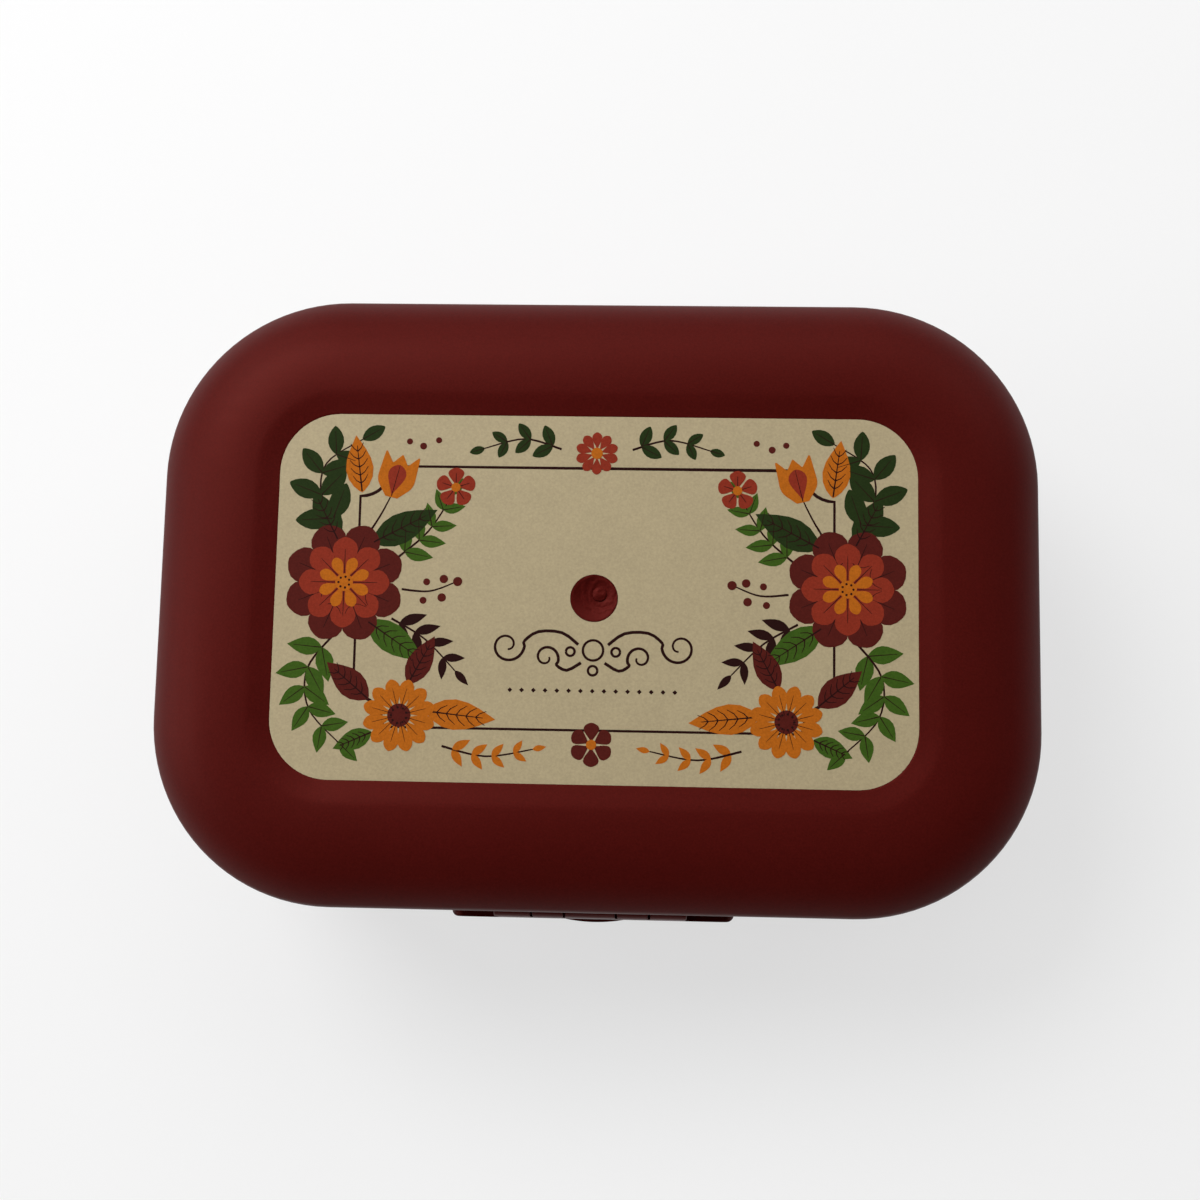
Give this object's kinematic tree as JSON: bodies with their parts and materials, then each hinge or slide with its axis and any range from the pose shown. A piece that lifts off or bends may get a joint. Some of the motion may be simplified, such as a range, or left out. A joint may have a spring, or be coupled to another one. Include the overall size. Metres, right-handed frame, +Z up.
{
  "type": "travel soap box",
  "caption": "Rounded rectangular soap box with a hinged, sealed lid, a front snap clip, a flush label panel on the lid and a lift-out drain tray.",
  "frame": {"origin": "middle of the tub's flat underside", "axes": "+X along the box's width, to the right when the clip faces the viewer; +Y towards the hinge; -Y towards the clip; +Z up through the lid"},
  "size_m": [0.115, 0.0849, 0.042],
  "materials": {
    "box_plastic": "burgundy polypropylene, satin with a fine moulded grain",
    "label_film": "cream printed film moulded flush into the lid, soft satin",
    "seal_silicone": "milky silicone, matt",
    "tray_plastic": "ivory polypropylene, satin",
    "pin_steel": "stainless wire, drawn"
  },
  "bodies": {
    "tub": {"base_tub": "box_plastic", "hinge_pin_left": "pin_steel", "hinge_pin_right": "pin_steel"},
    "lid": {"lid_shell": "box_plastic", "lid_label": "label_film", "lid_seal": "seal_silicone", "latch_pin": "pin_steel"},
    "clip": {"front_latch": "box_plastic"},
    "tray": {"drain_tray": "tray_plastic"}
  },
  "joints": [
    {"name": "lid_hinge", "type": "hinge", "parent": "tub", "child": "lid", "pos_m": [0, 0.0405, 0.027], "axis": [-1, 0, 0], "range_deg": [0, 115]},
    {"name": "clip_hinge", "type": "hinge", "parent": "lid", "child": "clip", "pos_m": [0, -0.0395, 0.0335], "axis": [-1, 0, 0], "range_deg": [0, 90]},
    {"name": "tray_lift", "type": "slide", "parent": "tub", "child": "tray", "axis": [0, 0, 1], "range_m": [0, 0.026]}
  ]
}
